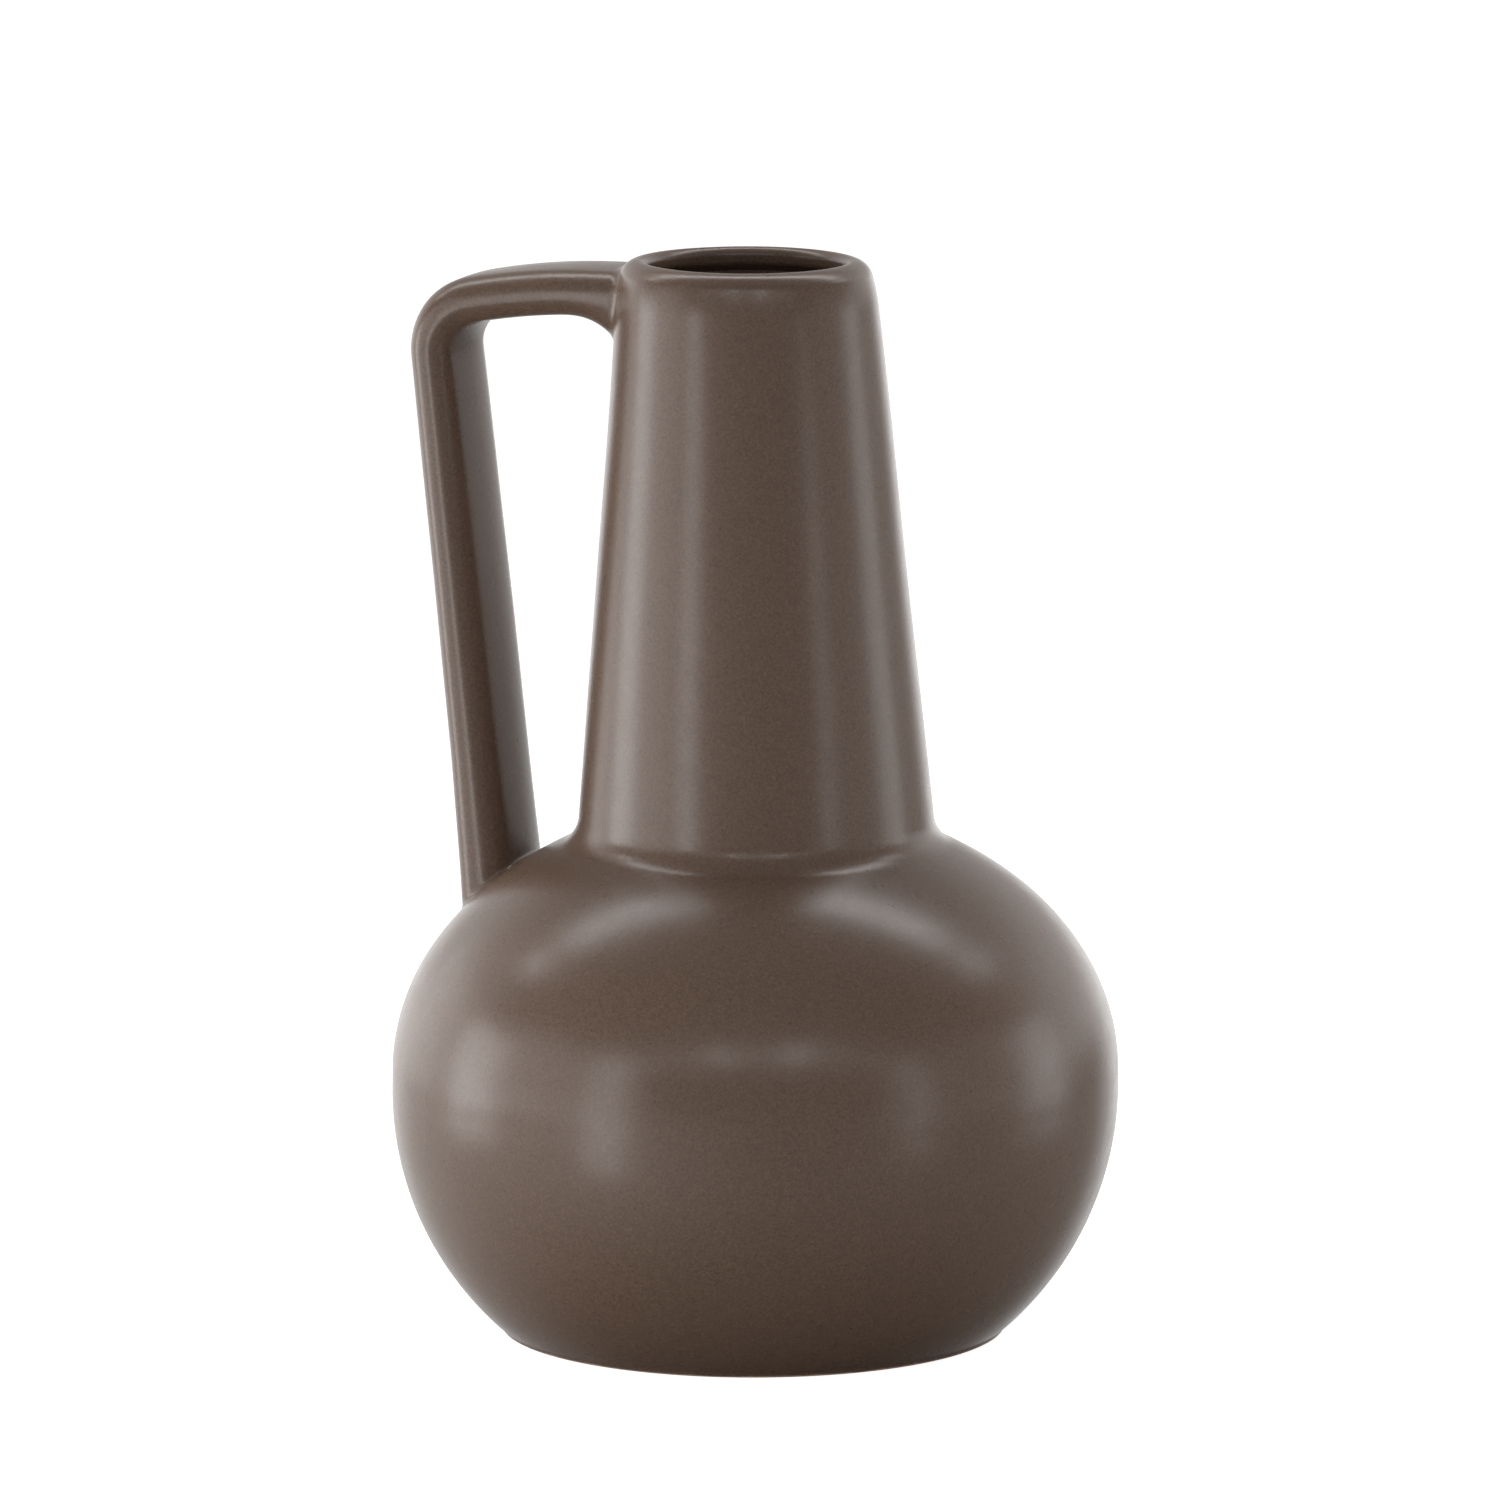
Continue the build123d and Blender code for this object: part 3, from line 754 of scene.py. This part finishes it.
TAUPE = (0.160, 0.103, 0.0728)
WARM_TAUPE = (0.158, 0.1007, 0.0707)
COOL_TAUPE = (0.151, 0.0997, 0.0713)
GRAIN_TAUPE = (0.094, 0.060, 0.0427)
PALE_SPECK = (0.42, 0.36, 0.31)
DARK_PINHOLE = (0.035, 0.026, 0.021)
# Colour of the lip's darker band: thinner glaze, with painted shade
THIN_GLAZE_AND_SHADE = (0.125, 0.080, 0.058)
BARE_CLAY = (0.50, 0.36, 0.27)
GROG = (0.40, 0.27, 0.195)
GRAIN_STRENGTH = 0.9
LIP_BAND_FROM = 0.2965  # heights on the lip, in metres, of its darker band: thinner glaze, with painted shade where the crown faces up
LIP_BAND_TO = 0.2995
LIP_BAND_DRIFT = 0.0015
LIP_BAND_STRENGTH = 0.45
GLAZE_ROUGHNESS = (0.265, 0.30)
PEEL_DEPTH = 0.00002
FOOT_EDGE = (0.0004, 0.0006)  # heights on the foot ring between which the glaze begins
FOOT_EDGE_DRIFT = 0.0004
FOOT_ROUGHNESS = (0.85, 0.4)  # clay, then glaze
GROG_DEPTH = 0.00008


def drifting_height(tree, place, scale, drift):
    """Height on the vase, moved up or down a little from place to place."""
    split = tree.nodes.new("ShaderNodeSeparateXYZ")
    tree.links.new(place, split.inputs["Vector"])
    move = ramp(tree, noise(tree, place, scale, detail=3), 0, 1, -drift, drift)
    return math_node(tree, "ADD", split.outputs["Z"], move)


def glaze_colour(tree, place):
    """Taupe with slow kiln tones, pale specks, dark pinholes and a darker band round the lip's crown,
    which is thinner glaze with painted shade.
    """
    tone = ramp(tree, noise(tree, place, scale=14.0, detail=3), 0.35, 0.65)
    colour = blend_colours(tree, tone, WARM_TAUPE, COOL_TAUPE)
    mottle = ramp(tree, noise(tree, place, scale=55.0, detail=2), 0.3, 0.7)
    colour = blend_colours(tree, mottle, colour, TAUPE)
    grain = ramp(tree, noise(tree, place, scale=1500.0, detail=2), 0.3, 0.7, 0, GRAIN_STRENGTH)
    colour = blend_colours(tree, grain, colour, GRAIN_TAUPE)
    # Darker band round the lip's crown: thinner glaze, with painted shade where the crown faces up
    lip_height = drifting_height(tree, place, 90.0, LIP_BAND_DRIFT)
    thin_and_shade = ramp(tree, lip_height, LIP_BAND_FROM, LIP_BAND_TO, 0, LIP_BAND_STRENGTH)
    colour = blend_colours(tree, thin_and_shade, colour, THIN_GLAZE_AND_SHADE)
    pale = place_group(tree, specks, place, Spacing=38.0, Size=0.011, Share=0.55)
    colour = blend_colours(tree, pale.outputs["Mask"], colour, PALE_SPECK)
    dark = place_group(tree, specks, place, Spacing=31.0, Size=0.012, Share=0.4)
    return blend_colours(tree, dark.outputs["Mask"], colour, DARK_PINHOLE)


def make_glaze():
    """Matte taupe glaze with a satin sheen."""
    material, tree, shader, place = new_material("taupe_glaze")
    tree.links.new(glaze_colour(tree, place), shader.inputs["Base Color"])
    peel = place_group(tree, orange_peel, place)
    roughness = ramp(tree, peel.outputs["Gloss"], 0.3, 0.7, *GLAZE_ROUGHNESS)
    tree.links.new(roughness, shader.inputs["Roughness"])
    bump = tree.nodes.new("ShaderNodeBump")
    bump.inputs["Distance"].default_value = PEEL_DEPTH
    tree.links.new(peel.outputs["Height"], bump.inputs["Height"])
    tree.links.new(bump.outputs["Normal"], shader.inputs["Normal"])
    return material


def make_foot_clay():
    """Bare turned clay, with the glaze's uneven edge on the outside of the ring."""
    material, tree, shader, place = new_material("foot_clay")
    glaze = glaze_colour(tree, place)
    grog = noise(tree, place, scale=900.0, detail=4)
    clay = blend_colours(tree, ramp(tree, grog, 0.3, 0.7), BARE_CLAY, GROG)
    covered = ramp(tree, drifting_height(tree, place, 120.0, FOOT_EDGE_DRIFT), *FOOT_EDGE)
    tree.links.new(blend_colours(tree, covered, clay, glaze), shader.inputs["Base Color"])
    tree.links.new(ramp(tree, covered, 0, 1, *FOOT_ROUGHNESS), shader.inputs["Roughness"])
    bump = tree.nodes.new("ShaderNodeBump")
    bump.inputs["Distance"].default_value = GROG_DEPTH
    tree.links.new(grog, bump.inputs["Height"])
    tree.links.new(bump.outputs["Normal"], shader.inputs["Normal"])
    return material


# Kiln lean, in millimetres to the right as the camera sees it

LEAN_TURN = 125.0  # height up to which the belly leans, and from which the neck leans back
BELLY_LEAN = 1.14
NECK_LEAN = -2.4
LIP_LEAN = -0.68  # more lean, which gathers towards the mouth
LEAN_LAYERS = 13
LATTICE_WIDTH = 260.0
UNEVENNESS = 0.5  # strength of the hand-made unevenness
UNEVENNESS_SPAN = 70.0


def kiln_lean(height):
    """Sideways shift of the vase at a height."""
    belly = min(height / LEAN_TURN, 1)
    neck = max((height - LEAN_TURN) / (TOTAL_HEIGHT - LEAN_TURN), 0)
    return BELLY_LEAN * belly + NECK_LEAN * neck + LIP_LEAN * neck**4


def make_kiln_lattice():
    """Lattice round the vase whose layers are shifted sideways as the kiln left them."""
    bpy.ops.object.select_all(action="DESELECT")
    bpy.ops.object.add(type="LATTICE", location=(0, 0, TOTAL_HEIGHT / 2 * MM))
    lattice = bpy.context.object
    lattice.name = "kiln_lean"
    lattice.scale = (LATTICE_WIDTH * MM, LATTICE_WIDTH * MM, TOTAL_HEIGHT * MM)
    cage = lattice.data
    cage.points_u, cage.points_v, cage.points_w = 2, 2, LEAN_LAYERS
    cage.interpolation_type_u = cage.interpolation_type_v = "KEY_LINEAR"
    cage.interpolation_type_w = "KEY_CATMULL_ROM"
    for layer in range(LEAN_LAYERS):
        move = view_right * kiln_lean(TOTAL_HEIGHT * layer / (LEAN_LAYERS - 1)) * MM
        for corner in range(4):
            point = cage.points[layer * 4 + corner]
            point.co_deform.x += move.x / lattice.scale.x
            point.co_deform.y += move.y / lattice.scale.y
    return lattice


def fire(piece, lattice, clouds):
    """Leans a piece with the rest of the vase and, with a cloud texture, leaves it a little uneven."""
    bpy.ops.object.select_all(action="DESELECT")
    piece.select_set(True)
    bpy.context.view_layer.objects.active = piece
    lean_step = piece.modifiers.new("kiln_lean", "LATTICE")
    lean_step.object = lattice
    bpy.ops.object.modifier_apply(modifier=lean_step.name)
    if clouds:
        uneven = piece.modifiers.new("hand_unevenness", "DISPLACE")
        uneven.texture = clouds
        uneven.texture_coords = "LOCAL"
        uneven.direction = "RGB_TO_XYZ"
        uneven.strength = UNEVENNESS * MM
        uneven.mid_level = 0.5
        bpy.ops.object.modifier_apply(modifier=uneven.name)
    bpy.ops.object.shade_smooth_by_angle(angle=math.radians(SMOOTH_ANGLE))


# Studio, in metres

AIM_HEIGHT = 0.1  # point on the axis that the panels face
FLOOR_WIDTH = 16.0
FLOOR_SHADES = ((0.80, 0.80, 0.80), (0.82, 0.82, 0.82))
FLOOR_GLOW = 0.85  # to the camera alone
ROOM_GLOW = 0.23
TABLE_GLOW = 0.25
LEFT_TABLE_GLOW = 0.70
SWEEP_GLOW = 1.1
SWEEP_RIGHT_GAIN = 1.45


def softbox(name, bearing, away, height, width, tall, glow):
    """A panel that faces the vase.

    The bearing is in degrees from the camera's side towards its right, and glow is the radiance.
    """
    turn = math.radians(bearing)
    stand = (view_right * math.sin(turn) + view_front * math.cos(turn)) * away + Vector((0, 0, height))
    facing = (stand - Vector((0, 0, AIM_HEIGHT))).to_track_quat("Z", "Y").to_euler()
    bpy.ops.object.light_add(type="AREA", location=stand, rotation=facing)
    lamp = bpy.context.object
    lamp.name = name
    lamp.data.shape = "RECTANGLE"
    lamp.data.size = width
    lamp.data.size_y = tall
    lamp.data.energy = glow * math.pi * width * tall
    lamp.visible_camera = False


def set_floor():
    """Plain white sweep. It is left out of reflections, where the room below stands in for it."""
    bpy.ops.mesh.primitive_plane_add(size=FLOOR_WIDTH)
    floor = bpy.context.object
    floor.name = "floor"
    floor.visible_glossy = False
    floor.visible_shadow = False
    material, tree, shader, place = new_material("white_floor")
    shade = blend_colours(tree, noise(tree, place, scale=3.0, detail=2), *FLOOR_SHADES)
    tree.links.new(shade, shader.inputs["Base Color"])
    shader.inputs["Roughness"].default_value = 0.9
    shader.inputs["Emission Color"].default_value = (1, 1, 1, 1)
    seen = tree.nodes.new("ShaderNodeLightPath").outputs["Is Camera Ray"]
    tree.links.new(math_node(tree, "MULTIPLY", seen, FLOOR_GLOW), shader.inputs["Emission Strength"])
    floor.data.materials.append(material)


def set_lights():
    """Strips at the front, panels at both sides, a bar overhead and small lamps above."""
    # Name, bearing, distance, height, width, length and glow
    softbox("front_left_strip", -44.6, 0.55, 0.12, 0.12, 0.42, 3.4)
    softbox("front_right_strip", 47.0, 0.55, 0.13, 0.09, 0.34, 1.8)
    softbox("left_strip", -96, 0.85, 0.14, 0.30, 0.46, 4.2)
    softbox("right_strip", 98, 0.85, 0.14, 0.30, 0.46, 2.0)
    softbox("left_fill", -72, 1.00, 0.25, 0.50, 0.60, 1.4)
    softbox("right_fill", 72, 1.00, 0.25, 0.50, 0.60, 0.35)
    softbox("left_wall", -128, 0.90, 0.18, 0.45, 0.46, 0.8)
    softbox("overhead_bar", 180, 0.22, 0.83, 1.25, 0.14, 5.9)
    softbox("upper_left_lamp", -107, 0.79, 0.77, 0.16, 0.14, 5.0)
    softbox("upper_right_lamp", 107, 0.79, 0.77, 0.16, 0.14, 4.4)
    softbox("front_bar", 0, 1.05, 0.733, 1.90, 0.06, 3.0)
    softbox("front_lamp_left", -12, 1.05, 0.733, 0.13, 0.06, 10.0)
    softbox("front_lamp_right", 14, 1.05, 0.733, 0.13, 0.06, 13.0)


def set_room():
    """Soft light all round, set by how far a direction points up, across and behind the vase.

    It is a dim room with pale walls behind at both sides, a table that is palest at the left and a
    white sweep at the back. To the camera itself all of it is white, so no horizon shows.
    """
    world = bpy.data.worlds.new("studio")
    bpy.context.scene.world = world
    world.use_nodes = True
    tree = world.node_tree
    towards = tree.nodes.new("ShaderNodeTexCoord").outputs["Generated"]

    def along(direction):
        node = tree.nodes.new("ShaderNodeVectorMath")
        node.operation = "DOT_PRODUCT"
        tree.links.new(towards, node.inputs[0])
        node.inputs[1].default_value = direction
        return node.outputs["Value"]

    def add(first, second):
        return math_node(tree, "ADD", first, second)

    def dim(glow, share):
        return math_node(tree, "MULTIPLY", glow, share)

    up = along((0, 0, 1))
    across = along(view_right)
    behind = along(-view_front)
    left = ramp(tree, across, 0.1, -0.7)
    right = ramp(tree, across, -0.1, 0.7)

    walls = dim(add(left, right), ramp(tree, up, 0.75, 0.35))
    walls = dim(walls, ramp(tree, behind, 0.1, 0.5))
    above = dim(add(walls, ROOM_GLOW), ramp(tree, up, -0.05, 0.05))

    far_right = dim(right, ramp(tree, behind, 0.72, 0.90, 0.10, 0.55))
    sides = add(dim(left, LEFT_TABLE_GLOW), far_right)
    table = dim(add(sides, TABLE_GLOW), ramp(tree, up, 0.05, -0.05))
    table = dim(table, ramp(tree, up, -0.85, -0.35, 0.05, 1.0))

    sweep = dim(ramp(tree, behind, 0.76, 0.95, 0.0, SWEEP_GLOW), ramp(tree, up, 0.14, -0.02))
    sweep = dim(sweep, ramp(tree, up, -0.55, -0.12))
    sweep = dim(sweep, ramp(tree, across, 0.0, 0.4, 1.0, SWEEP_RIGHT_GAIN))

    level = add(add(above, table), sweep)
    seen = tree.nodes.new("ShaderNodeLightPath").outputs["Is Camera Ray"]
    level = math_node(tree, "MAXIMUM", level, seen)
    tree.links.new(level, tree.nodes["Background"].inputs["Color"])


place_camera()
set_floor()
set_lights()
set_room()

foot_ring_piece = throw_foot_ring()
bowl_piece = throw_bowl()
shoulder_piece = throw_shoulder()
neck_piece = throw_neck()
lip_piece = throw("lip_piece", lip_points, True)
handle_piece = pull_handle()
glazed_pieces = (bowl_piece, shoulder_piece, neck_piece, lip_piece, handle_piece)

hand_clouds = bpy.data.textures.new("hand_unevenness", "CLOUDS")
hand_clouds.cloud_type = "COLOR"
hand_clouds.noise_scale = UNEVENNESS_SPAN * MM
hand_clouds.noise_depth = 1
kiln_lattice = make_kiln_lattice()
fire(foot_ring_piece, kiln_lattice, None)
for piece in glazed_pieces:
    fire(piece, kiln_lattice, hand_clouds)
bpy.data.objects.remove(kiln_lattice)

orange_peel = make_orange_peel()
specks = make_specks()
taupe_glaze = make_glaze()
foot_clay = make_foot_clay()
for piece in glazed_pieces:
    piece.data.materials.clear()
    piece.data.materials.append(taupe_glaze)
foot_ring_piece.data.materials.clear()
foot_ring_piece.data.materials.append(foot_clay)

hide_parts("foot_ring", "foot_slip")
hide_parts("bowl")
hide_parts("shoulder", "belly_slip")
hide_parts("neck", "neck_slip")
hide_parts("lip", "lip_slip")
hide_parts("handle", "handle_top_slip", "handle_bottom_slip")
for piece in (foot_ring_piece, *glazed_pieces):
    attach(piece, "root")
